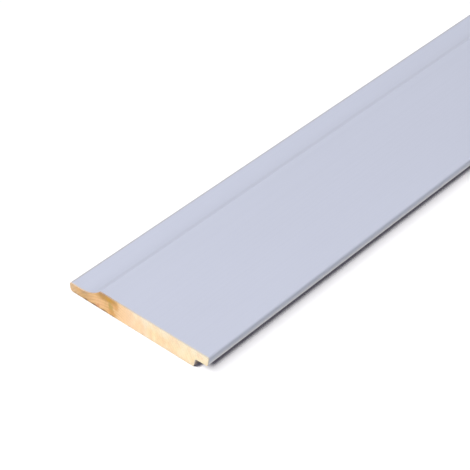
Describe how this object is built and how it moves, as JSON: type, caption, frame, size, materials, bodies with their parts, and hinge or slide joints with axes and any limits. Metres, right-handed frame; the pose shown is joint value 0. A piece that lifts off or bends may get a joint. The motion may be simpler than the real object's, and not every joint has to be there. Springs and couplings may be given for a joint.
{
  "type": "bevel siding board",
  "caption": "Painted timber siding board with a thin upper lip, a cove below it and a rebate behind the lower edge, for lapping over the next board down.",
  "frame": {"origin": "middle of the flat back of the board, at half its length and half its overall width", "axes": "+Z out of the face that shows on the wall, +X down the wall from the lip to the lower edge, +Y along the length"},
  "size_m": [0.12, 2.4, 0.0145],
  "materials": {
    "painted_softwood": "pale lavender-grey paint in a satin finish on the planed faces, bare sawn ends"
  },
  "bodies": {
    "root": {"siding_board": "painted_softwood"}
  },
  "joints": []
}
